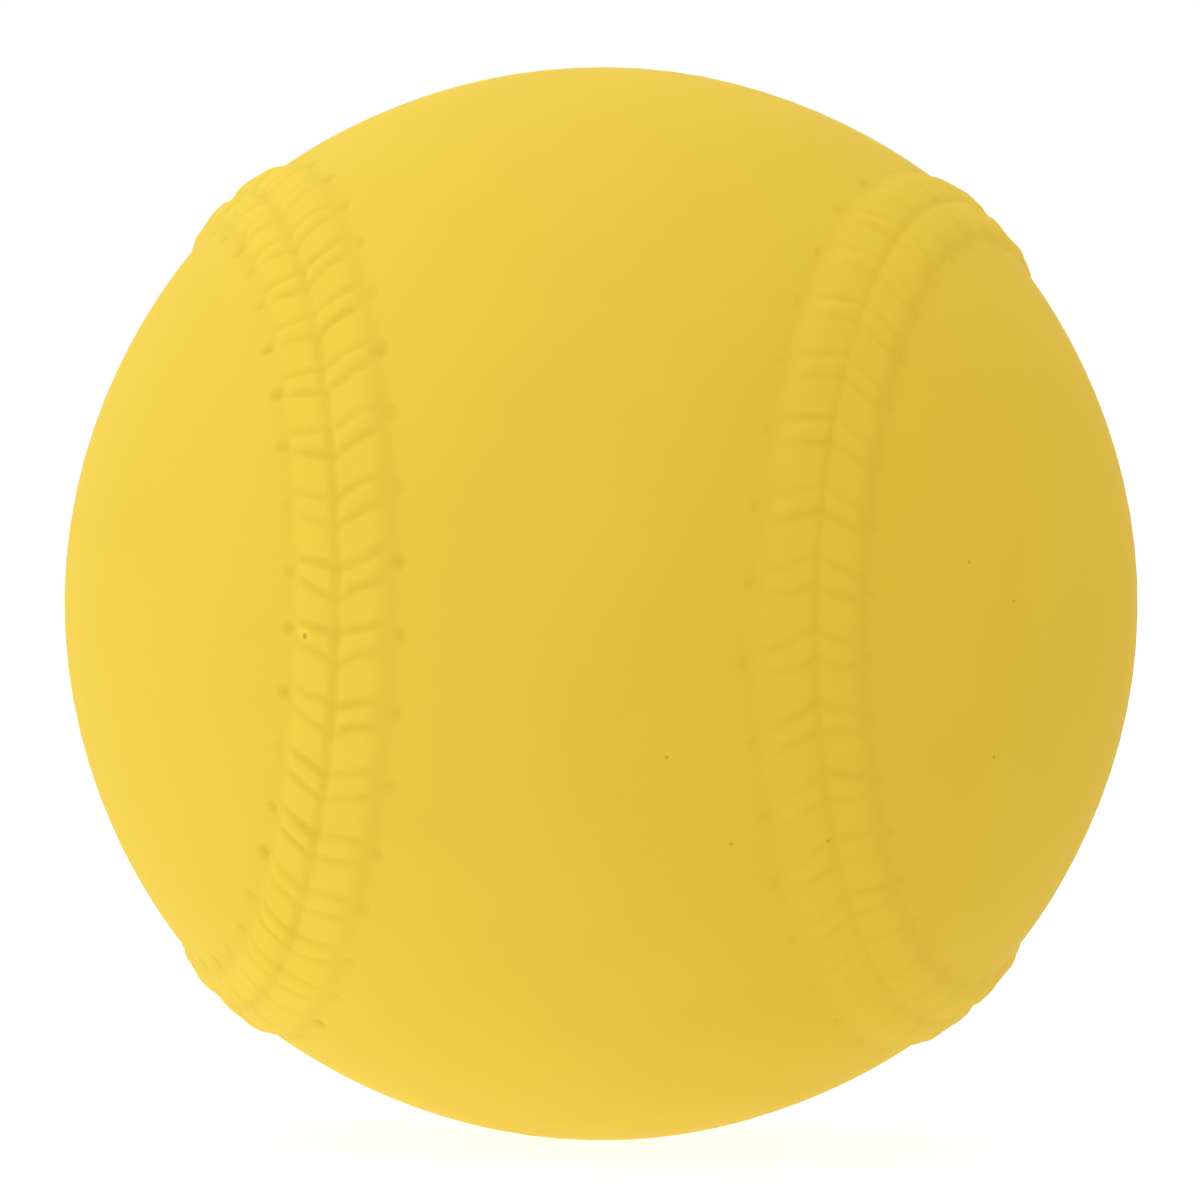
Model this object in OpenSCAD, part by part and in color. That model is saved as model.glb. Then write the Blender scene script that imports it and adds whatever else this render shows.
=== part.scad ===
// Moulded softball: a round core, wound with yarn and coated with cement, in two bonded rubber half shells.
// The raised seam, its strands and its needle pits are relief of the shells, as in a moulded ball.
// Origin at the ball's middle, the narrow front of one panel toward -Y, the parting plane at z = 0.

/* [Ball] */
// Diameter across the smooth panels
ball_d = 97; // [89:0.5:130]
// Thickness of the rubber cover under the panels
cover_t = 3.5; // [2:0.1:6]
// Thickness of the cement coat under the cover
coat_t = 0.5; // [0.3:0.1:1.5]
// Thickness of the yarn winding under the coat
winding_t = 5; // [2:0.5:12]
// Gap between one layer and the next
layer_gap = 0.05; // [0.02:0.01:0.2]

/* [Seam] */
// Angle at the ball's middle from the front of the ball to the groove beside it
waist_angle = 24.8; // [20:0.1:30]
// Width of one lip, from the groove to its foot
lip_w = 4.9; // [3.5:0.1:6]
// Height of the lips over the panels
lip_h = 1.05; // [0.5:0.05:1.6]
// Depth of the groove below the tops of the lips
groove_d = 0.5; // [0.2:0.05:1.5]

/* [Stitches] */
// Stitches round the whole seam, in steps of eight
stitches = 88; // [72:8:120]
// Depth of the two valleys that set off each strand
valley_d = 0.35; // [0.1:0.05:0.5]
// Rise of each strand over the lip
strand_rise = 0.06; // [0:0.02:0.2]
// Width of the needle pits
pit_w = 1.3; // [0.8:0.1:2]
// Depth of the needle pits
pit_d = 0.5; // [0.2:0.1:1.5]

/* [Hidden] */
round_fn = 96;
half_turn = 180;

// Radii of the layers, from the outside in.
ball_r = ball_d / 2;
cover_in_r = ball_r - cover_t;
coat_r = cover_in_r - layer_gap;
coat_in_r = coat_r - coat_t;
winding_r = coat_in_r - layer_gap;
winding_in_r = winding_r - winding_t;
core_r = winding_in_r - layer_gap;

// The groove is four equal arcs of a circle, each round the middle of a lobe, that meet with one direction.
// Two neighbouring lobes then lie twice the arc's radius apart, so the cosine of twice lobe_angle is minus
// the square of the cosine of lobe_axis, which gives lobe_angle once the waist is set.
lobe_lead = atan2(sin(2 * waist_angle), 2 + cos(2 * waist_angle));
lobe_angle = (acos(-1 / sqrt(5 + 4 * cos(2 * waist_angle))) - lobe_lead) / 2;
lobe_axis = lobe_angle + waist_angle;
half_arc = acos(-cos(lobe_axis) * sin(lobe_axis) / sin(2 * lobe_angle));

// Each cover half holds half an arc, a whole arc and half an arc, counted in stitches from the right waist.
eighth = max(2, round(stitches / 8));
half_count = 4 * eighth;
stitch_turn = half_arc / eighth;

// One arc's lobe: its middle, the way to its waist, and the way along the seam there.
lobe_frames = [
    [[sin(lobe_axis), -cos(lobe_axis), 0], [-cos(lobe_axis), -sin(lobe_axis), 0], [0, 0, 1]],
    [[0, cos(lobe_axis), sin(lobe_axis)], [0, sin(lobe_axis), -cos(lobe_axis)], [-1, 0, 0]],
    [[-sin(lobe_axis), -cos(lobe_axis), 0], [cos(lobe_axis), -sin(lobe_axis), 0], [0, 0, -1]]
];

// Direction of the point that lies u stitches along the seam and v millimetres toward the front panel.
function seam_dir(u, v) =
    let (
        arc = u < eighth ? 0 : u < 3 * eighth ? 1 : 2,
        frame = lobe_frames[arc],
        turn = (u - 2 * arc * eighth) * stitch_turn,
        across = v / ball_r * half_turn / PI,
        open = arc == 1 ? lobe_angle - across : lobe_angle + across
    )
    frame[0] * cos(open) + (frame[1] * cos(turn) + frame[2] * sin(turn)) * sin(open);

// Point a share of the way along the great circle from one direction to another.
function between(a, b, share) =
    let (gap = acos(min(1, a * b)))
    gap < 0.001 ? a : (a * sin((1 - share) * gap) + b * sin(share * gap)) / sin(gap);

// Columns across one lip, as shares of its width, then the middle and the far side of the pits.
lip_shares = [0, 0.08, 0.25, 0.5, 0.75, 0.93, 1];
side_cols = len(lip_shares) + 1;
function col_at(c) =
    c < len(lip_shares) ? lip_shares[c] * lip_w : lip_w + (c - len(lip_shares) + 1) * pit_w / 2;
edge_at = col_at(side_cols);

// Rows along one stitch, as shares of it from the strand's middle: pillow, valley, strand, valley, pillow.
row_shares = [-0.33, -0.17, 0, 0.17, 0.33];
row_count = len(row_shares);
strand_row = 2;
// Place of the first pits past the waist, and how far the strands run ahead from the pit to the groove.
phase_share = 0.36;
lean_share = 0.3;
room_share = 0.7;

// Rows of one cover half, each with its place at the pits and its number within the stitch.
rows = concat(
    [[0, -1]],
    [for (k = [0:half_count - 1], i = [0:row_count - 1]) [k + phase_share + row_shares[i], i]],
    [[half_count, -1]]
);
function lean(u) = min(lean_share, room_share * u, room_share * (half_count - u));

// Height of a lip over the panels: a hump that falls to the groove on one side and to its foot on the other.
hump_power = 2.4;
function lip_height(v) =
    let (
        off = 2 * v / lip_w - 1,
        low = off < 0 ? lip_h - groove_d : 0
    )
    v >= lip_w ? 0 : low + (lip_h - low) * (1 - pow(abs(off), hump_power));

// Height of a row and column: the lip, with a strand or a valley that fades out toward the lip's foot, or a pit.
function relief(kind, c) =
    let (
        full = lip_height(col_at(c)),
        fade = max(0, min(1, 2 * full / lip_h))
    )
    kind == strand_row && c == side_cols - 1 ? -pit_d
    : kind == strand_row ? full + strand_rise * fade
    : abs(kind - strand_row) == 1 ? full - valley_d * fade
    : full;

// Vertices of the seam band, row by row, from the back panel's side to the front panel's.
band_cols = 2 * side_cols + 1;
band = [
    for (row = rows, c = [-side_cols:side_cols])
        let (
            v = sign(c) * col_at(abs(c)),
            u = row[0] + lean(row[0]) * (1 - abs(v) / edge_at)
        )
        seam_dir(u, v) * (ball_r + relief(row[1], abs(c)))
];

// Middle line of each panel that the panel's rows run to: the front panel's lies in the plane x = 0,
// the back panel's in the parting plane. Round a lobe all rows run to the lobe's middle.
function front_target(k) =
    let (t = min(k, half_count - k, eighth) / eighth * (half_turn - lobe_axis))
    [0, -cos(t), sin(t)];
function back_target(k) =
    let (t = (2 * eighth - min(max(k, eighth), 3 * eighth)) / eighth * (half_turn - lobe_axis))
    [sin(t), cos(t), 0];

// Vertices of the panels: columns of each panel row, then the targets.
panel_cols = 7;
function panel_rows(front) = [
    for (k = [0:half_count], j = [1:panel_cols - 1])
        ball_r * between(
            seam_dir(k, front ? edge_at : -edge_at),
            front ? front_target(k) : back_target(k),
            j / panel_cols
        )
];
front_ends = [for (k = [0:eighth]) ball_r * front_target(k)];
back_ends = [for (k = [eighth:3 * eighth]) ball_r * back_target(k)];

front_base = len(band);
back_base = front_base + (half_count + 1) * (panel_cols - 1);
front_end_base = back_base + (half_count + 1) * (panel_cols - 1);
back_end_base = front_end_base + len(front_ends);
middle = back_end_base + len(back_ends);
dome_points = concat(band, panel_rows(true), panel_rows(false), front_ends, back_ends, [[0, 0, 0]]);

// Numbers of the vertices. Column 0 is the groove, and panel column panel_cols is the target.
function band_at(r, c) = r * band_cols + c + side_cols;
function front_at(k, j) =
    j < panel_cols ? front_base + k * (panel_cols - 1) + j - 1
    : front_end_base + min(k, half_count - k, eighth);
function back_at(k, j) =
    j < panel_cols ? back_base + k * (panel_cols - 1) + j - 1
    : back_end_base + min(max(k, eighth), 3 * eighth) - eighth;
function panel_at(front, k, j) = front ? front_at(k, j) : back_at(k, j);
function wind(face, flip) = flip ? [face[0], face[2], face[1]] : face;

// Faces of the seam band.
last_row = len(rows) - 1;
band_faces = [
    for (r = [0:last_row - 1], c = [-side_cols:side_cols - 1])
        each [
            [band_at(r, c), band_at(r, c + 1), band_at(r + 1, c + 1)],
            [band_at(r, c), band_at(r + 1, c + 1), band_at(r + 1, c)]
        ]
];

// Faces that join the band's rows to the panel's, which are one to a stitch.
function join_faces(front) =
    let (edge = front ? side_cols : -side_cols)
    [
        for (r = [0:last_row - 1])
            let (
                k = floor(max(0, r - 1) / row_count),
                split = r - k * row_count == strand_row + 1
            )
            each concat(
                [wind([
                    band_at(r, edge),
                    panel_at(front, r - k * row_count > strand_row + 1 ? k + 1 : k, 1),
                    band_at(r + 1, edge)
                ], !front)],
                split ? [wind([
                    band_at(r + 1, edge), panel_at(front, k, 1), panel_at(front, k + 1, 1)
                ], !front)] : []
            )
    ];

// Faces of a panel, and its last ones to the target, where two corners fall together round a lobe.
function panel_faces(front) = [
    for (k = [0:half_count - 1], j = [1:panel_cols - 1])
        let (
            a = panel_at(front, k, j),
            b = panel_at(front, k, j + 1),
            c = panel_at(front, k + 1, j + 1),
            d = panel_at(front, k + 1, j)
        )
        each concat(
            [wind([a, b, d], !front)],
            b == c ? [] : [wind([b, c, d], !front)]
        )
];

// Flat underside, as a fan from the middle to the rim in the parting plane.
rim = concat(
    [for (j = [panel_cols:-1:1]) front_at(0, j)],
    [for (c = [side_cols:-1:-side_cols]) band_at(0, c)],
    [for (j = [1:panel_cols - 1]) back_at(0, j)],
    [for (i = [0:2 * eighth]) back_end_base + i],
    [for (j = [panel_cols - 1:-1:1]) back_at(half_count, j)],
    [for (c = [-side_cols:side_cols]) band_at(last_row, c)],
    [for (j = [1:panel_cols - 1]) front_at(half_count, j)]
);
rim_faces = [for (i = [0:len(rim) - 1]) [middle, rim[i], rim[(i + 1) % len(rim)]]];

// One moulded half shell. Both halves come out of the same mould, turned half way round.
module cover_half() {
    difference() {
        polyhedron(
            points = dome_points,
            faces = concat(band_faces, join_faces(true), join_faces(false),
                panel_faces(true), panel_faces(false), rim_faces)
        );
        sphere(r = cover_in_r, $fn = round_fn);
    }
}

module layer(outer, inner) {
    difference() {
        sphere(r = outer, $fn = round_fn);
        sphere(r = inner, $fn = round_fn);
    }
}

module cover_upper_half() {
    color([0.87, 0.74, 0.26])
        cover_half();
}

module cover_lower_half() {
    color([0.85, 0.72, 0.25])
        rotate([0, half_turn, 0])
            cover_half();
}

module cement_coat() {
    color([0.9, 0.87, 0.76])
        layer(coat_r, coat_in_r);
}

module yarn_winding() {
    color([0.86, 0.84, 0.8])
        layer(winding_r, winding_in_r);
}

module centre_core() {
    color([0.55, 0.38, 0.24])
        sphere(r = core_r, $fn = round_fn);
}

centre_core();
yarn_winding();
cement_coat();
cover_upper_half();
cover_lower_half();
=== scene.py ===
# %% [markdown]
# # A moulded softball
# The ball is a yellow rubber cover, moulded in two halves round a wound core. Its raised seam, its
# strands and its needle pits are all relief of that cover, so no thread is sewn here. The packed
# model gives the five solids at their true sizes. This lesson gives the two cover halves their fine
# relief and gives every layer its finish. Loading the solids first means that each new piece can
# take its sizes from them.

import bisect
import copy
import functools
import math
import random

import bmesh
import bpy
from mathutils import Matrix, Vector, noise


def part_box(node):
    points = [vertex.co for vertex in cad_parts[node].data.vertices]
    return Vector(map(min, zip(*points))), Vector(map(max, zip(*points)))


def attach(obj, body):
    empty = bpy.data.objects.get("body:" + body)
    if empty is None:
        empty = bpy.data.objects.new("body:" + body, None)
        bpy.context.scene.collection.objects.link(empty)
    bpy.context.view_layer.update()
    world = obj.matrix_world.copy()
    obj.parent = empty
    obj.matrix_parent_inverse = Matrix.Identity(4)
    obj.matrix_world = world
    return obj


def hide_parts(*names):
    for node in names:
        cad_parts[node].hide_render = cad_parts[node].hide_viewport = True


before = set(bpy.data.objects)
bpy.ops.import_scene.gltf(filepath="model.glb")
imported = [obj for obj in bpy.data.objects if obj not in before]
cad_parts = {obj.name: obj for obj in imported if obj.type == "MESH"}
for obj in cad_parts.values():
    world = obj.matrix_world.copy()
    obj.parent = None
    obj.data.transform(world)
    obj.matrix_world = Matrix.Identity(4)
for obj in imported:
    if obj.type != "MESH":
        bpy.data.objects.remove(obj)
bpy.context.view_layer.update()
MM = 0.001
print("solids:", sorted(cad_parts))

# %% [markdown]
# The seam of a ball is four equal arcs of a circle. Each arc goes round the middle of one lobe, and
# neighbouring arcs meet with one direction. One angle then settles the whole line: the waist, which
# is half the gap between the two seams at the front. A spline through measured points could follow
# one photograph, but arcs keep the seam even all the way round, as the mould maker's drawing does.

# %% The seam's drawing
ball_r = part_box("cover_upper_half")[1].y
bond_gap = 0.05 * MM
inner_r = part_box("cement_coat")[1].z + bond_gap
waist = math.radians(24.8)
lobe_lead = math.atan2(math.sin(2 * waist), 2 + math.cos(2 * waist))
lobe_angle = (math.acos(-1 / math.sqrt(5 + 4 * math.cos(2 * waist))) - lobe_lead) / 2
lobe_axis = lobe_angle + waist
half_arc = math.acos(-math.cos(lobe_axis) * math.sin(lobe_axis) / math.sin(2 * lobe_angle))

stitches = 88
eighth = stitches // 8
half_count = stitches // 2
turn_each = half_arc / eighth
pitch = turn_each * math.sin(lobe_angle) * ball_r
print("seam length in mm:", round(stitches * pitch / MM, 1), "and one stitch:", round(pitch / MM, 2))

# %% [markdown]
# One cover half carries half an arc, a whole arc and half an arc. For each arc, three directions
# are enough: the middle of its lobe, the way from there to the waist, and the way along the seam at
# the waist. A place on the cover is then given as on a map, by stitches along the seam and by the
# distance across it.

# %% From the map to the ball
axis_sin = math.sin(lobe_axis)
axis_cos = math.cos(lobe_axis)
arcs = [
    (Vector((axis_sin, -axis_cos, 0)), Vector((-axis_cos, -axis_sin, 0)), Vector((0, 0, 1))),
    (Vector((0, axis_cos, axis_sin)), Vector((0, axis_sin, -axis_cos)), Vector((-1, 0, 0))),
    (Vector((-axis_sin, -axis_cos, 0)), Vector((axis_cos, -axis_sin, 0)), Vector((0, 0, -1))),
]


def seam_way(along, across):
    """Direction of the place `along` stitches up the seam and `across` metres toward the front panel."""
    part = 0 if along < eighth else 1 if along < 3 * eighth else 2
    middle, outward, onward = arcs[part]
    turn = (along - 2 * part * eighth) * turn_each
    open_angle = lobe_angle + (-across if part == 1 else across) / ball_r
    side = outward * math.cos(turn) + onward * math.sin(turn)
    return middle * math.cos(open_angle) + side * math.sin(open_angle)


print("waist at", [round(c / MM, 1) for c in ball_r * seam_way(0, 0)], "mm")

# %% [markdown]
# A half of the cover reaches past its seam on both sides, over a smooth panel to the panel's
# middle. The front panel's middle runs up over the ball, and there the rows of the mesh from both
# sides meet and are welded. The back panel's middle lies in the parting plane, so its rows end on
# the rim. Where such a line ends, in the middle of a lobe, many rows meet in one point, which does
# no harm on a smooth panel.


# %% Middle lines of the two panels
def front_line(along):
    """Middle line of the front panel, which its rows run to."""
    tilt = min(along, half_count - along, eighth) / eighth * (math.pi - lobe_axis)
    return Vector((0, -math.cos(tilt), math.sin(tilt)))


def back_line(along):
    """Middle line of the back panel, which lies in the parting plane."""
    held = min(max(along, eighth), 3 * eighth)
    tilt = (2 * eighth - held) / eighth * (math.pi - lobe_axis)
    return Vector((math.sin(tilt), math.cos(tilt), 0))


print("front panel's middle runs", round(math.degrees(math.pi - lobe_axis), 1), "degrees up the ball")

# %% [markdown]
# The relief copies a sewn ball: two lips with a groove between them, strands that cross them, and
# needle pits. It could be painted as a bump, but then the outline would stay a plain circle, so it
# is real height in the mesh. The height is a sum of a few simple forms. Where a lip meets the
# panel, a soft maximum rounds the foot, as a mould cutter does with a small radius.


# %% Simple forms
def soft_max(first, second, blend):
    """The larger of two heights, with a rounded change from one to the other."""
    near = max(blend - abs(first - second), 0)
    return max(first, second) + near * near / (4 * blend)


def cut(distance, half_width):
    """Share of a valley's depth at a distance from its bottom line, from 1 there to 0 at its edge."""
    return max(0, 1 - (distance / half_width) ** 2) ** 2


def bell(distance, half_width):
    """A soft bell, 1 in the middle and a third at the half width."""
    return math.exp(-((distance / half_width) ** 2))


print("half way to its edge a valley keeps", round(cut(1, 2), 2), "of its depth")
print("at half its half width a bell keeps", round(bell(1, 2), 2), "of its height")

# %% [markdown]
# A lip is a rounded ridge beside the groove, about five millimetres wide. A drawn profile could
# follow one section of it, but a power curve needs only a height, a width and a roundness, and all
# three can be measured on the outline of the ball. Toward the groove the lip falls only a little,
# because the other lip stands against it there.

# %% Shape of a lip
lip_height = 0.74 * MM
lip_drop = 0.12 * MM
hump_power = 2.15
front_lip = 5.1 * MM
back_lip = 4.7 * MM
foot_round = 0.35 * MM


def hump(across, width):
    """Height of a lip: rounded from the groove over its top to its foot."""
    place = 2 * across / width - 1
    low = lip_height - lip_drop if place < 0 else 0
    return soft_max(low + (lip_height - low) * (1 - abs(place) ** hump_power), 0, foot_round)


print("a lip's top stands", round(hump(front_lip / 2, front_lip) / MM, 2), "mm over the panel")

# %% [markdown]
# The thread of a sewn ball is pulled in at the groove, so a strand leans there and the two lips'
# strands meet in a chevron. A straight slant would look printed. A curve that is steep at the
# groove and level at the pit looks like a thread under tension.

# %% Lean of the strands
strand_lead = 0.25
strand_arch = 1.6
pit_gap = 0.6 * MM


def strand_lean(across):
    """How far a strand runs ahead at a distance from the groove, in stitches."""
    return strand_lead * max(0, 1 - across / (front_lip + pit_gap)) ** strand_arch


print("a strand runs ahead by", round(strand_lean(0) * pitch / MM, 2), "mm at the groove")

# %% [markdown]
# No two stitches of a real pattern are alike, because the mould was cut from a sewn ball. Each
# strand gets its own small shifts from a seeded random source, so that the ball comes out the same
# every time. Some eight stitches from the waist the strands are dull, as the photograph shows them.

# %% Strands and their small differences
dull_place = 8
dull_reach = 2.5
dull_share = 0.45


class Strand:
    """Where one strand lies, in stitches along the seam, and how it differs from the drawing."""

    def __init__(self, place, rng):
        self.place = place
        dulled = dull_share * bell(min(place, half_count - place) - dull_place, dull_reach)
        self.depth = rng.uniform(0.75, 1.2) * (1 - dulled)
        self.plump = rng.uniform(-0.12, 0.12) * MM
        self.pit = rng.uniform(0.75, 1.2)
        self.pit_out = rng.uniform(-0.15, 0.15) * MM
        self.pit_on = rng.uniform(-0.2, 0.2) * MM

    def past(self, stitches_on):
        """The same strand, seen from the other half of the cover."""
        twin = copy.copy(self)
        twin.place += stitches_on
        return twin


sample = Strand(0.5, random.Random(1))
print("the valleys of a first strand may be", round(sample.depth, 2), "times as deep as drawn")

# %% [markdown]
# A lip of one half has forty-four strands. They stand almost evenly: the first and the last place
# and a slight bend were measured at both waists and above them, and at the upper left the strands
# come a little late. A half also knows the other half's nearest strand past each end, so the
# pattern runs on across the parting line.

# %% Strands of the four lips
late_place = 8
late_reach = 4


def lip_strands(seed, first, last, bend, late=0.0):
    """The strands of one lip in one half, from its first place past the waist to its last."""
    rng = random.Random(seed)
    strands = []
    for k in range(half_count):
        share = k / half_count
        behind = late * bell(half_count - k - late_place, late_reach)
        drift = (last - first) * share + bend * share * (1 - share) + behind
        strands.append(Strand(k + first + drift, rng))
    return strands


def run_on(own, other):
    """A lip's strands with the other half's nearest strand at each end."""
    return [other[-1].past(-half_count), *own, other[0].past(half_count)]


top_own = [lip_strands(seed, first=0.352, last=0.43, bend=0.27, late=0.17) for seed in (5, 6)]
base_own = [lip_strands(seed, first=0.353, last=0.354, bend=-0.6) for seed in (11, 12)]
top_lips = [run_on(own, other) for own, other in zip(top_own, base_own)]
base_lips = [run_on(own, other) for own, other in zip(base_own, top_own)]
print("strands on one lip of a half:", len(top_own[0]), "with two more past its ends:", len(top_lips[0]))

# %% [markdown]
# Each strand lies between two shallow valleys that run across its lip, and the cover swells into a
# pillow between one strand and the next. A pit lies where a needle would go in. The valleys lie a
# little closer together toward the foot of the lip, because a real thread narrows into its hole.
# They take hold only where the lip has some height, and a pit is narrower where the ball is worn.

# %% Sizes of valleys, pillows and pits
groove_cut = 0.27 * MM
groove_half = 0.8 * MM
valley_cut = 0.32 * MM
valley_half = 0.7 * MM
valley_inner = 1.2 * MM
valley_outer = 0.95 * MM
strand_half = 1.4 * MM
strand_lift = 0.15 * MM
scallop = 0.4 * MM
pillow_middle = 0.7
hold_slope = 1.7
hold_from = 0.25
crossing_fade = 0.7
pit_r = 0.8 * MM
pit_depth = 0.36 * MM
pit_narrow = 0.6
pit_widen = 0.55
print("the valleys of a strand lie", 2 * valley_outer / MM, "to", 2 * valley_inner / MM, "mm apart")

# %% [markdown]
# Light reaches a hollow and a top differently, so the colour of the rubber gets painted shade down in a
# hollow and a painted highlight on a top. The mesh therefore carries one number beside its shape: how sunk a
# place is. A colour painted by hand could say the same, but this one follows the relief by itself.

# %% How sunk a place looks, for painted shade and highlight
most_sunk = 1.6
groove_shade = 0.5
crossing_shade = 0.8
valley_shade = 0.7
pit_shade = 1.15
foot_shade = 0.55
foot_half = 0.7 * MM
lip_highlight = 0.45
crown_highlight = 0.3
crown_half = 1.4 * MM


def shade_and_highlight(across, lip, worn, hold, groove=0, valleys=0, pits=0, ridge=0):
    """How sunk a place looks, which sets its painted shade: from most_sunk in the deepest hollow to less than
    0, a painted highlight, on a lip.
    """
    # Painted shade in the groove, the valleys, the pits and at the foot of a lip.
    in_groove = (groove_shade + crossing_shade * valleys) * groove
    at_foot = foot_shade * bell(across - lip, foot_half)
    deepest = max(in_groove, valley_shade * hold * valleys, pit_shade * pits, at_foot)
    sunk = min(most_sunk, worn * deepest)
    # Painted highlight on the lip, strongest on its crown and on the tops of the strands.
    painted_highlight = lip_highlight + crown_highlight * bell(across - lip / 2, crown_half)
    return sunk - painted_highlight * (1 + worn * worn * ridge) * hold * max(0, 1 - sunk)


print("foot of a lip:", round(shade_and_highlight(front_lip, front_lip, worn=1, hold=0), 2))
print("top of a strand:", round(shade_and_highlight(front_lip / 2, front_lip, worn=1, hold=1, ridge=1), 2))

# %% [markdown]
# Now the forms are added up. A displacement texture could carry them too, but a formula for each
# place lets the valleys fade out at the foot of the lip and where they cross the groove, as a
# cutter lifts out of the mould. Only the two strands nearest to a place matter there.


# %% Height of the cover at one place
def relief(along, across, strands, lip, worn):
    """Height over the panel in metres, and how sunk the place looks, which sets its painted shade and
    highlight.
    """
    place = along - strand_lean(across)
    after = bisect.bisect(strands, place, key=lambda strand: strand.place)
    near = [(strand, (place - strand.place) * pitch) for strand in strands[max(0, after - 1) : after + 1]]
    pillow = math.prod(1 - bell(off, strand_half) for strand, off in near)
    plump = sum(strand.plump * max(0, 1 - abs(off) / pitch) for strand, off in near)
    height = hump(across, lip + scallop * (pillow - pillow_middle) + plump)
    hold = min(1, max(0, hold_slope * height / lip_height - hold_from))
    groove = worn * cut(across, groove_half)
    beside = valley_outer + (valley_inner - valley_outer) * max(0, 1 - across / lip)
    valleys = sum(strand.depth * cut(abs(off) - beside, valley_half) for strand, off in near)
    ridge = sum(cut(off, beside) for strand, off in near)
    pits = 0
    for strand, off in near:
        reach = math.hypot(off - strand.pit_on, across - lip - pit_gap - strand.pit_out)
        pits += strand.pit * cut(reach, pit_r * (pit_narrow + pit_widen * worn))
    pressed = (worn * valley_cut * valleys - strand_lift * (1 - pillow)) * hold * (1 - crossing_fade * groove)
    height = height - groove_cut * groove - pressed - worn * pit_depth * pits
    return height, shade_and_highlight(across, lip, worn, hold, groove, valleys, pits, ridge)


first_top = top_lips[0][1].place + strand_lean(front_lip / 2)
for name, along in (("strand", first_top), ("pillow", first_top + 0.5)):
    height, sunk = relief(along, front_lip / 2, top_lips[0], front_lip, 1)
    print(name, "stands", round(height / MM, 2), "mm over the panel and looks sunk by", round(sunk, 2))

# %% [markdown]
# The real ball isn't as even as its drawing. The relief is flatter on the ball's right and uneven
# from place to place. Smooth noise gives the unevenness. It reads the place on the whole ball, so
# that it doesn't break at the parting line.

# %% Wear and unevenness
wear = 0.48
wear_slope = 1.2
wear_middle = 0.5
uneven = 0.45
uneven_scale = 16


def kept_depth(on_whole):
    """Share of its drawn depth that the relief keeps at a place of the whole ball."""
    worn = 1 - wear * min(1, max(0, wear_slope * on_whole.x + wear_middle))
    return worn * (1 + uneven * noise.noise(on_whole * uneven_scale))


for name, x in (("left", -1), ("right", 1)):
    print("the", name, "keeps", round(kept_depth(Vector((x, 0, 0))), 2), "of its drawn depth")

# %% [markdown]
# The lips are widest at the two waists of the front. At the right one the halves of the mould sat a
# millimetre apart, so the front lip steps out there, and the step dies away within two stitches.
# Two straight halves would hide how such a ball is made.

# %% Width of the lips
lip_taper = 0.75 * MM
taper_reach = 8
mould_slip = 1.0 * MM
slip_top = 0.15
slip_base = 0.8


def lip_width(along, on_front, turned):
    """Width of a lip at a place along the seam of one half."""
    narrow = lip_taper * (1 - bell(min(along, half_count - along), taper_reach))
    past_waist = (half_count - along) / slip_base if turned else along / slip_top
    return (front_lip + mould_slip * bell(past_waist, 1) if on_front else back_lip) - narrow


print("front lip at the right waist:", round(lip_width(0, True, False) / MM, 2), "mm")
print("front lip at the back:", round(lip_width(half_count / 2, True, False) / MM, 2), "mm")

# %% [markdown]
# A flat grid is drawn first and then laid on the ball, as a map is wrapped round a globe. Its rows
# stand a quarter of a millimetre apart, and its columns close up at the groove and the pits, where
# the relief is finest. The columns beyond the seam run over the panels to their middle lines.

# %% Rows and columns of the map
rows_each = 25
row_count = half_count * rows_each
band_knots = ((0, 0), (5, 0.95 * MM), (15, 3.8 * MM), (27, 6.9 * MM))
band_cols = band_knots[-1][0]
panel_cols = 12
panel_growth = 1.3


def col_place(step):
    """Distance of a numbered column from the groove: columns run evenly from one knot to the next."""
    for (first, low), (last, high) in zip(band_knots, band_knots[1:]):
        if step <= last:
            return low + (high - low) * (step - first) / (last - first)


print("grid:", row_count + 1, "rows and", 2 * (band_cols + panel_cols) + 1, "columns")

# %% [markdown]
# Each vertex of the grid now gets its place on the ball. Where a strand leans, its row leans with
# it, so the strand follows the mesh and stays crisp. Near the parting line the rows straighten,
# because the rim is flat. The seam bows half a millimetre at the left waist, and the panels rise a
# little toward it and are not quite true.

# %% Lay the grid on the ball
calm_reach = 2
seam_bow = 0.5 * MM
bow_reach = 4
strand_wander = 0.3 * MM
wander_scale = 24
seam_rise = 0.34 * MM
rise_reach = 13 * MM
rise_level = 0.05
swell = 0.05 * MM
swell_scale = 3.1
same_way = 1e-6


def on_ball(col, row, lips, turned):
    """Place of one grid vertex on the ball, and how sunk it looks, which sets its painted shade and
    highlight.
    """
    on_front = col > 0
    across = col_place(min(abs(col), band_cols))
    along = row / rows_each
    calm = min(1, along / calm_reach, (half_count - along) / calm_reach)
    spot = along + calm * strand_lean(across)
    bow = seam_bow * bell(along if turned else half_count - along, bow_reach)
    way = seam_way(spot, (across if on_front else -across) + bow)
    reach = across
    past_band = abs(col) - band_cols
    if past_band > 0:
        share = (past_band / panel_cols) ** panel_growth
        goal = front_line(along) if on_front else back_line(along)
        reach = across + share * way.angle(goal) * ball_r
        way = way.slerp(goal, share) if way.angle(goal) > same_way else goal
    on_whole = Vector((-way.x, way.y, -way.z)) if turned else way
    height = sunk = 0
    if past_band <= 0:
        wander = strand_wander * noise.noise(on_whole * wander_scale) / pitch
        lip = lip_width(along, on_front, turned)
        height, sunk = relief(spot + wander, across, lips[0 if on_front else 1], lip, kept_depth(on_whole))
    rise = seam_rise * (bell(reach, rise_reach) - rise_level)
    wave = swell * noise.noise(on_whole * swell_scale)
    return way * (ball_r + height + rise + wave), sunk


spot, sunk = on_ball(0, row_count // 2, top_lips, turned=False)
print("middle of the upper half's seam, at the back:", [round(c / MM, 1) for c in spot], "mm")

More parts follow.
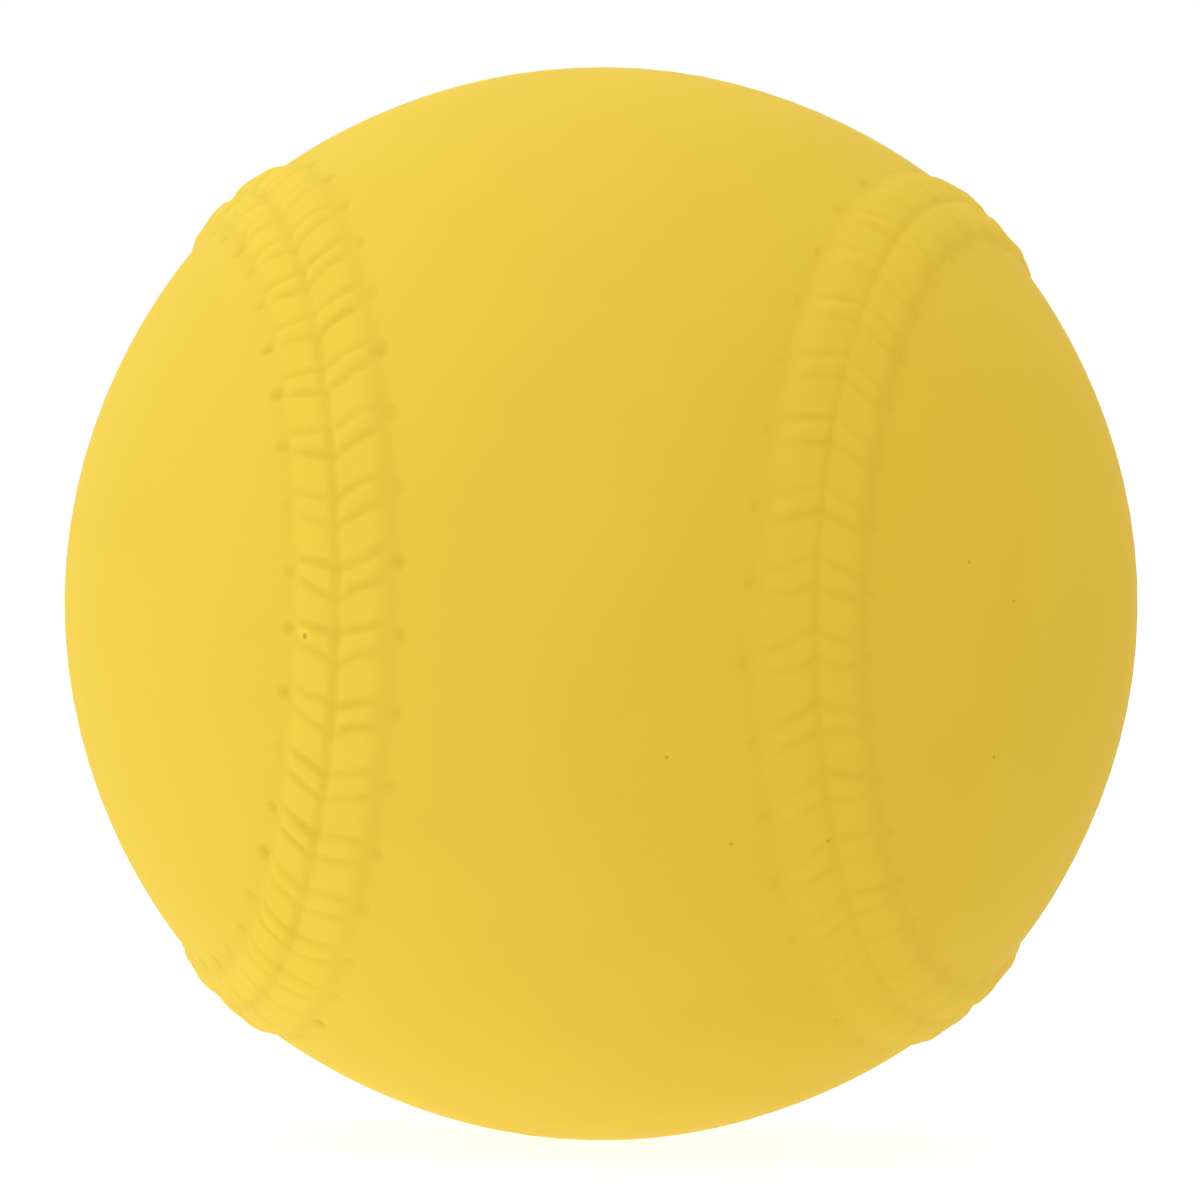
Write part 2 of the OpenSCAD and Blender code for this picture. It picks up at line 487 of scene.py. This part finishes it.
# %% [markdown]
# The real cover is a shell of even thickness round the core. Its inside is extruded from the rim
# and drawn in ring by ring to the pole. Solidify would copy all the fine relief to the inside,
# where no mould ever cut it.

# %% Close the shell inside
wall_rings = 14
weld = 0.001 * MM


def add_inner_wall(bm):
    """Extrude the rim inward and draw it up, ring by ring, to the pole of the inside."""
    ring = [edge for edge in bm.edges if edge.is_boundary]
    for k in range(wall_rings + 1):
        made = bmesh.ops.extrude_edge_only(bm, edges=ring)["geom"]
        ring = [part for part in made if isinstance(part, bmesh.types.BMEdge) and part.is_boundary]
        rise = math.pi / 2 * k / wall_rings
        for vert in {vert for edge in ring for vert in edge.verts}:
            if k == wall_rings:
                vert.co = Vector((0, 0, inner_r))
            else:
                flat = Vector((vert.co.x, vert.co.y, 0)).normalized()
                vert.co = flat * inner_r * math.cos(rise) + Vector((0, 0, inner_r * math.sin(rise)))
    bmesh.ops.remove_doubles(bm, verts=bm.verts, dist=weld)


print("the wall is", round((ball_r - inner_r) / MM, 2), "mm thick at the panels")

# %% [markdown]
# Rubber lets a little light in, so small relief looks softer on it than on paint. Real scattering
# under the surface would cost four times the render time. Turning the normals of the outside part
# of the way back to a plain ball's gives nearly the same softness at no cost.

# %% Soften the shading of the outside
softness = 0.45
facing_out = 0.5


def soften(mesh):
    """Turn the normals of the outside part of the way back to a plain ball's."""
    turned = []
    for face in mesh.polygons:
        outside = face.normal.dot(face.center.normalized()) > facing_out
        for corner in face.loop_indices:
            normal = mesh.corner_normals[corner].vector
            way = mesh.vertices[mesh.loops[corner].vertex_index].co.normalized()
            turned.append(normal.lerp(way, softness).normalized() if outside else normal.copy())
    mesh.normals_split_custom_set(turned)


print("normals keep", round(1 - softness, 2), "of their tilt")

# %% [markdown]
# The two halves come from one recipe, and the lower one is turned half round the front-to-back
# axis, as two casts from one cutting of the mould would be. A mirrored half would lean its strands
# the wrong way. Each half is closed and faces outward, so that it can stand as a solid of its own.

# %% Mould the two halves
crease = math.radians(65)


def finish_piece(bm, name):
    """Turn the faces outward, shade them smooth and make the object."""
    bmesh.ops.recalc_face_normals(bm, faces=bm.faces)
    for face in bm.faces:
        face.smooth = True
    for edge in bm.edges:
        edge.smooth = edge.calc_face_angle(0) < crease
    open_edges = sum(edge.is_boundary or not edge.is_manifold for edge in bm.edges)
    triangles = sum(len(face.verts) - 2 for face in bm.faces)
    mesh = bpy.data.meshes.new(name)
    bm.to_mesh(mesh)
    bm.free()
    soften(mesh)
    piece = bpy.data.objects.new(name, mesh)
    bpy.context.scene.collection.objects.link(piece)
    print(name, "has", triangles, "triangles and", open_edges, "open edges")
    return piece


def cover_half(name, lips, turned):
    """One moulded half shell, with its relief outside and its round wall inside."""
    cols = band_cols + panel_cols
    bm = bmesh.new()
    # The sunk layer carries the painted shade and highlight of the cover's colour.
    depths = bm.verts.layers.float.new("sunk")
    bmesh.ops.create_grid(bm, x_segments=2 * cols, y_segments=row_count, size=0.5)
    for vert in bm.verts:
        col = round(2 * cols * vert.co.x)
        row = round(row_count * (vert.co.y + 0.5))
        vert.co, vert[depths] = on_ball(col, row, lips, turned)
    bmesh.ops.remove_doubles(bm, verts=bm.verts, dist=weld)
    add_inner_wall(bm)
    if turned:
        bmesh.ops.rotate(bm, verts=bm.verts, matrix=Matrix.Rotation(math.pi, 3, "Y"))
    return finish_piece(bm, name)


cover_top = cover_half("cover_top", top_lips, turned=False)
cover_base = cover_half("cover_base", base_lips, turned=True)

# %% [markdown]
# Finishes are written as sums. This small class holds one output of a shader node and knows how to
# be added, multiplied and mixed, and each of these steps adds a node. Wiring by hand would say the
# same in many more lines.


# %% Shader values that plain sums can use
class Value:
    """One output of a shader node."""

    def __init__(self, tree, socket=None):
        self.tree = tree
        self.socket = socket

    def node(self, kind, settings, inputs, output=0):
        """Add a node, set it, feed its inputs by name or number, and return one of its outputs."""
        made = self.tree.nodes.new(kind)
        for name, setting in settings.items():
            setattr(made, name, setting)
        for name, given in inputs.items():
            if isinstance(given, Value):
                self.tree.links.new(given.socket, made.inputs[name])
            else:
                made.inputs[name].default_value = given
        return Value(self.tree, made.outputs[output])

    def math(self, operation, *values):
        return self.node("ShaderNodeMath", {"operation": operation}, dict(enumerate(values)))

    def vector(self, operation, *values, output=0):
        return self.node("ShaderNodeVectorMath", {"operation": operation}, dict(enumerate(values)), output)

    def __add__(self, other):
        return self.math("ADD", self, other)

    def __radd__(self, other):
        return self.math("ADD", other, self)

    def __sub__(self, other):
        return self.math("SUBTRACT", self, other)

    def __rsub__(self, other):
        return self.math("SUBTRACT", other, self)

    def __mul__(self, other):
        return self.math("MULTIPLY", self, other)

    def __rmul__(self, other):
        return self.math("MULTIPLY", other, self)

    def __truediv__(self, other):
        return self.math("DIVIDE", self, other)

    def __rtruediv__(self, other):
        return self.math("DIVIDE", other, self)

    def least(self, other):
        return self.math("MINIMUM", self, other)

    def most(self, other):
        return self.math("MAXIMUM", self, other)

    def size(self):
        return self.math("ABSOLUTE", self)

    def sine(self):
        return self.math("SINE", self)

    def steps(self, low, high):
        """A smooth rise from 0 to 1 while this value goes from low to high."""
        inputs = {"Value": self, "From Min": low, "From Max": high}
        return self.node("ShaderNodeMapRange", {"interpolation_type": "SMOOTHSTEP"}, inputs)

    def between(self, first, second):
        """A colour that goes from the first to the second as this value goes from 0 to 1."""
        return self.node("ShaderNodeMix", {"data_type": "RGBA"}, {0: self, 6: first, 7: second}, 2)

    def parts(self):
        """The three parts of a vector or a colour."""
        split = self.node("ShaderNodeSeparateXYZ", {}, {0: self})
        return [Value(self.tree, socket) for socket in split.socket.node.outputs]

    def times(self, other):
        """A vector or a colour times another, part by part."""
        return self.vector("MULTIPLY", self, other)

    def direction(self):
        """The same vector, made one long."""
        return self.vector("NORMALIZE", self)

    def distance(self, point):
        """How far a vector lies from a fixed point."""
        return self.vector("DISTANCE", self, tuple(point), output=1)


print("a shader value knows", [name for name in vars(Value) if not name.startswith("_")])

# %% [markdown]
# Every finish starts from the same few steps: a new material, its shader with the constant numbers
# set on it, and the place on the piece in metres. Patterns read that place, so they stay still when
# the ball turns.


# %% Start a finish
class Finish:
    """One material, with its shader and the tools that its patterns need."""

    def __init__(self, name, constants):
        self.material = bpy.data.materials.new(name)
        self.material.use_nodes = True
        self.tree = self.material.node_tree
        self.shader = self.tree.nodes["Principled BSDF"]
        for socket, setting in constants.items():
            self.shader.inputs[socket].default_value = setting
        self.start = Value(self.tree)
        self.place = self.start.node("ShaderNodeTexCoord", {}, {}, "Object")

    def grain(self, scale, detail, place=None):
        """Soft noise from 0 to 1 with about `scale` cells a metre."""
        inputs = {"Vector": place or self.place, "Scale": scale, "Detail": detail}
        return self.start.node("ShaderNodeTexNoise", {}, inputs)

    def cells(self, scale, feature, output):
        """Voronoi cells, for granules and bubbles."""
        inputs = {"Vector": self.place, "Scale": scale}
        return self.start.node("ShaderNodeTexVoronoi", {"feature": feature}, inputs, output)

    def feed(self, socket, value):
        self.tree.links.new(value.socket, self.shader.inputs[socket])

    def emboss(self, height):
        """Tilt the surface by a height that is given in metres."""
        inputs = {"Height": height, "Strength": 1.0, "Distance": 1.0}
        self.feed("Normal", self.start.node("ShaderNodeBump", {}, inputs))


print("a finish can add", [name for name in vars(Finish) if not name.startswith("_")])

# %% [markdown]
# The camera comes before the cover's finish, because the finish puts a few small flaws where the
# photograph shows them. It looks from the front, almost level, from sixteen ball radii away,
# through a long lens. The numbers were fitted to the ball's outline and the seam in the photograph.

# %% Camera at the photograph's angle
photo_px = 1200
ball_px = 536.8
ball_x_px = 601.0
ball_y_px = 603.6
camera_radii = 16
yaw = math.radians(-2.85)
pitch_down = math.radians(0.810)
roll = math.radians(-0.856)

view_turn = Matrix.Rotation(roll, 3, "Z") @ Matrix.Rotation(pitch_down, 3, "X") @ Matrix.Rotation(yaw, 3, "Y")
stance = Matrix.Rotation(math.pi / 2, 3, "X") @ view_turn.transposed()
frame_half = photo_px / 2 / ball_px / math.sqrt(camera_radii**2 - 1)

lens = bpy.data.cameras.new("camera")
lens.sensor_width = 36
lens.lens = lens.sensor_width / 2 / frame_half
lens.shift_x = (photo_px / 2 - ball_x_px) / photo_px
lens.shift_y = (ball_y_px - photo_px / 2) / photo_px
lens.clip_start = 0.01
camera = bpy.data.objects.new("camera", lens)
camera.matrix_world = stance.to_4x4()
camera.location = stance.col[2] * camera_radii * ball_r
bpy.context.scene.collection.objects.link(camera)
bpy.context.scene.camera = camera
print("camera stands", round(camera.location.length, 3), "m away with a lens of", round(lens.lens), "mm")

# %% [markdown]
# A flaw has to sit where the photograph shows it. A ray from the camera through its pixel meets the
# ball there. The place could be read off by hand, but the ray still holds when the camera's numbers
# are refined.


# %% Where a pixel of the photograph lies on the ball
def seen_at(x_px, y_px, lift=0.0):
    """Place that a pixel of the photograph shows, on the panels or at a height over them."""
    right = (x_px - ball_x_px) / (photo_px / 2) * frame_half
    up = (ball_y_px - y_px) / (photo_px / 2) * frame_half
    ray = (stance @ Vector((right, up, -1))).normalized()
    toward = camera.location.dot(ray)
    reach = -toward - math.sqrt(toward**2 - camera.location.length_squared + (ball_r + lift) ** 2)
    return camera.location + ray * reach


print("the photograph's middle lies at", [round(c / MM, 1) for c in seen_at(600, 600)], "mm")

# %% [markdown]
# Moulded rubber catches air: this ball has six pinholes in its panels and one larger bubble in the left lip,
# with a swollen rim. Holes this small would need a far finer mesh, so they are bump and painted shade, and
# the bubble's rim is bump and a painted highlight. They are measured as directions from the ball's middle, so
# the relief under them doesn't matter.

# %% Pinholes and the air bubble
pinholes_px = [(969, 562), (1014, 601), (731, 843), (667, 757), (824, 836), (994, 757)]
bubble_px = (307, 636)
pinhole_r = 0.22 * MM


def air_flaws(way):
    """How deep a place lies in a hole, and how far it lies on the bubble's rim."""
    holes = [way.distance(seen_at(*spot).normalized()) for spot in pinholes_px]
    nearest = ball_r * functools.reduce(Value.least, holes)
    bubble = ball_r * way.distance(seen_at(*bubble_px, lip_height).normalized())
    pinhole = 0.4 - 0.4 * nearest.steps(0.3 * pinhole_r, pinhole_r)
    burst = 0.55 - 0.55 * bubble.steps(0.14 * MM, 0.34 * MM)
    rim = 1 - bubble.steps(0.3 * MM, 1.0 * MM)
    return pinhole.most(burst), rim


print("bubble at", [round(c / MM, 1) for c in seen_at(*bubble_px, lip_height)], "mm")

# %% [markdown]
# The cover is solid-coloured rubber: one warm yellow with faint clouds, a satin skin from the mould's blasted
# steel, and a fine parting line that shows at the left. Paint or print would sit on top, and there is none.
# The colour hardly changes: painted shade deepens it a little in the hollows and a painted highlight makes it
# paler on the lip tops, and most of what the eye reads is in the relief, the bump and the gloss.

# %% Moulded rubber of the cover
deep_yellow = (0.80, 0.555, 0.048, 1)
light_yellow = (0.84, 0.59, 0.055, 1)
# Painted highlight for the bubble's rim and painted shade for the holes.
rim_highlight_yellow = (0.9, 0.66, 0.09, 1)
hole_shade_brown = (0.3, 0.16, 0.01, 1)
# Painted highlight for the tops and painted shade for the hollows, mixed by the sunk layer.
highlight_tint = (1.028, 1.033, 1.043, 1)
shade_tint = (0.944, 0.932, 0.906, 1)
most_raised = 0.8


def cover_rubber():
    finish = Finish("cover_rubber", {"IOR": 1.5, "Specular IOR Level": 0.05})
    clouds = finish.grain(70, 3.0)
    skin = finish.grain(1500, 2.0)
    waves = finish.grain(260, 2.0)
    pore, rim = air_flaws(finish.place.direction())
    rightward, _, upward = finish.place.parts()
    seam_line = (1 - upward.size().steps(0.02 * MM, 0.14 * MM)) * (1 - rightward.steps(-0.8 * ball_r, 0))
    # The bubble's rim gets a painted highlight.
    yellow = (0.3 * rim).between(clouds.between(deep_yellow, light_yellow), rim_highlight_yellow)
    sunk = finish.start.node("ShaderNodeAttribute", {"attribute_name": "sunk"}, {}, "Fac")
    # Painted shade in the hollows and a painted highlight on the tops, from the sunk layer.
    shade_mix = ((sunk + most_raised) / (most_raised + most_sunk)).between(highlight_tint, shade_tint)
    # The holes get painted shade in dark brown.
    finish.feed("Base Color", shade_mix.times(pore.between(yellow, hole_shade_brown)))
    finish.feed("Roughness", 0.56 + 0.08 * clouds + 0.06 * skin)
    moulded = 0.006 * MM * skin + 0.03 * MM * waves
    finish.emboss(moulded - 0.04 * MM * pore + 0.03 * MM * rim - 0.004 * MM * seam_line)
    return finish.material


cover_finish = cover_rubber()
print(cover_finish.name, "has", len(cover_finish.node_tree.nodes), "nodes")

# %% [markdown]
# Under the cover comes a thin coat of dried rubber cement, which bonds it to the winding. It was
# brushed on, so it is milky amber with streaks and small bubbles, and glossier than the cover.

# %% Cement coat
thin_milk = (0.86, 0.76, 0.5, 1)
thick_amber = (0.66, 0.52, 0.28, 1)
bubble_milk = (0.92, 0.87, 0.7, 1)


def rubber_cement():
    finish = Finish("rubber_cement", {"IOR": 1.5, "Coat Roughness": 0.15})
    streaks = finish.grain(60, 4.0, finish.place.times((1.0, 1.0, 6.0)))
    bubbles = 1 - finish.cells(700, "F1", "Distance").steps(0.12, 0.3)
    finish.feed("Base Color", (0.4 * bubbles).between(streaks.between(thin_milk, thick_amber), bubble_milk))
    finish.feed("Roughness", 0.22 + 0.25 * streaks)
    finish.feed("Coat Weight", 0.5 * streaks)
    finish.emboss(0.12 * MM * streaks + 0.04 * MM * bubbles)
    return finish.material


cement_finish = rubber_cement()
print(cement_finish.name, "has", len(cement_finish.node_tree.nodes), "nodes")

# %% [markdown]
# The winding is one long yarn, laid round the core under tension. It crosses itself in great
# circles that change direction patch by patch. Modelling every turn would take kilometres of tube
# for a layer that no one sees, so two sets of bands, mixed in patches, stand for the turns.

# %% Yarn winding
yarn_shadow = (0.42, 0.38, 0.32, 1)
yarn_light = (0.8, 0.77, 0.71, 1)
turns_scale = 3600


def winding_yarn():
    finish = Finish("winding_yarn", {"IOR": 1.45, "Sheen Weight": 0.3, "Sheen Roughness": 0.5})
    wander = 0.01 * finish.grain(35, 2.0)
    rightward, deep, tall = finish.place.parts()
    first = ((rightward + 0.6 * tall + wander) * turns_scale).sine()
    second = ((deep - 0.8 * tall + wander) * turns_scale).sine()
    patch = finish.cells(55, "F1", "Color").parts()[0].steps(0.45, 0.55)
    turns = 0.5 + 0.5 * (first * (1 - patch) + second * patch)
    fuzz = finish.grain(3000, 3.0)
    finish.feed("Base Color", (0.7 * turns + 0.3 * fuzz).between(yarn_shadow, yarn_light))
    finish.feed("Roughness", 0.75 + 0.2 * fuzz)
    finish.emboss(0.18 * MM * turns + 0.03 * MM * fuzz)
    return finish.material


yarn_finish = winding_yarn()
print(yarn_finish.name, "has", len(yarn_finish.node_tree.nodes), "nodes")

# %% [markdown]
# The core is cork granules pressed with brown rubber. Noise alone would look like mud, so Voronoi
# cells give the granules and the thin rubber between them, and each granule has its own shade.

# %% Cork and rubber core
dark_cork = (0.3, 0.16, 0.075, 1)
pale_cork = (0.62, 0.4, 0.22, 1)
brown_rubber = (0.06, 0.03, 0.018, 1)
granules_scale = 420


def cork_rubber():
    finish = Finish("cork_rubber", {"IOR": 1.5})
    jitter = finish.grain(300, 3.0)
    shade = finish.cells(granules_scale, "F1", "Color").parts()[1]
    edge = finish.cells(granules_scale, "DISTANCE_TO_EDGE", "Distance").steps(0.02, 0.12)
    cork = (0.7 * shade + 0.3 * jitter).between(dark_cork, pale_cork)
    finish.feed("Base Color", edge.between(brown_rubber, cork))
    finish.feed("Roughness", 0.6 + 0.3 * jitter)
    finish.emboss(0.12 * MM * edge + 0.05 * MM * jitter)
    return finish.material


cork_finish = cork_rubber()
print(cork_finish.name, "has", len(cork_finish.node_tree.nodes), "nodes")

# %% [markdown]
# The new halves take the places of the packed cover solids and ride on the ball's one body. The
# three inner layers are plain balls in the real ball too, so their packed solids stay and only get
# a finish.

# %% Give each layer its finish
for piece, node in ((cover_top, "cover_upper_half"), (cover_base, "cover_lower_half")):
    piece.data.materials.append(cover_finish)
    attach(piece, "root")
    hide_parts(node)

layers = {
    "cover_upper_half": cover_finish,
    "cover_lower_half": cover_finish,
    "cement_coat": cement_finish,
    "yarn_winding": yarn_finish,
    "centre_core": cork_finish,
}
for node, material in layers.items():
    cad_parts[node].data.materials.clear()
    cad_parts[node].data.materials.append(material)
print("finishes:", [material.name for material in bpy.data.materials if material.users])

# %% [markdown]
# The photograph was taken in a white light tent. Light comes from all round, a little more from the
# left and from above, and the white table gives as much back from below. No lamp does that as
# evenly as the tent itself, so the light is written as a small change of level with direction,
# round a plain white of 1.

# %% Light of the tent
level_tint = (1.0, 1.2, 1.5)
corner_shift = 0.11
sides_shift = 0.02


def tent_light(way, level, left, front, upright):
    """Colour of the light that comes from one direction of the tent, close to plain white."""
    x, y, z = way.parts()
    slant = level - left * x - front * y + corner_shift * x * y
    shift = slant + upright * (3 * z * z - 1) + sides_shift * (3 * x * x - 1)
    tinted = way.node("ShaderNodeVectorMath", {"operation": "SCALE"}, {0: level_tint, "Scale": shift})
    return tinted.vector("ADD", tinted, (1.0, 1.0, 1.0))


print("light changes by", corner_shift, "toward its corners and by", sides_shift, "toward its sides")

# %% [markdown]
# The world is the tent's wall and roof. What the camera and the gloss of the ball see of it is
# plain white, as in the photograph, while the ball is lit by the uneven light.

# %% World
world = bpy.data.worlds.new("light_tent")
world.use_nodes = True
bpy.context.scene.world = world
start = Value(world.node_tree)
rays = ("Is Camera Ray", "Is Glossy Ray", "Is Transmission Ray")
shown = functools.reduce(Value.most, [start.node("ShaderNodeLightPath", {}, {}, ray) for ray in rays])
from_world = start.node("ShaderNodeTexCoord", {}, {}, "Object")
upper = tent_light(from_world, level=0.0, left=0.31, front=-0.03, upright=0.18)
background = world.node_tree.nodes["Background"]
world.node_tree.links.new(shown.between(upper, (1, 1, 1, 1)).socket, background.inputs["Color"])
print(world.name, "has", len(world.node_tree.nodes), "nodes")

# %% [markdown]
# The ball lies on the tent's white table. A plain white floor would send back light that the ball
# itself colours and shades, and the photograph shows hardly any of that. So this floor glows by
# direction, as the tent does, and a weak grey of its own keeps the ball's soft shadow.

# %% Floor
floor_half = 4
table_grey = 0.25
table_seen = (0.83, 0.83, 0.83, 1)

floor_bm = bmesh.new()
bmesh.ops.create_grid(floor_bm, x_segments=1, y_segments=1, size=floor_half)
bmesh.ops.translate(floor_bm, verts=floor_bm.verts, vec=(0, 0, -ball_r))
floor_mesh = bpy.data.meshes.new("floor")
floor_bm.to_mesh(floor_mesh)
floor_bm.free()
floor = bpy.data.objects.new("floor", floor_mesh)
bpy.context.scene.collection.objects.link(floor)

grey = (table_grey, table_grey, table_grey)
table = Finish("white_table", {"Base Color": (*grey, 1), "Roughness": 0.9, "Emission Strength": 1.0})
seen = table.start.node("ShaderNodeLightPath", {}, {}, "Is Camera Ray")
lower = tent_light(table.place.direction(), level=0.01, left=0.1, front=-0.03, upright=0.08)
glow = lower.vector("SUBTRACT", lower, grey)
table.feed("Emission Color", seen.between(glow, table_seen))
floor_mesh.materials.append(table.material)
print("floor lies", round(ball_r / MM, 1), "mm under the middle of the ball")

# %% [markdown]
# The Standard view shows each colour as it is written. The other views bend bright colours toward
# white, which would take the warmth out of this yellow.

# %% Plain colours
bpy.context.scene.view_settings.view_transform = "Standard"
print("view:", bpy.context.scene.view_settings.view_transform)

# %% [markdown]
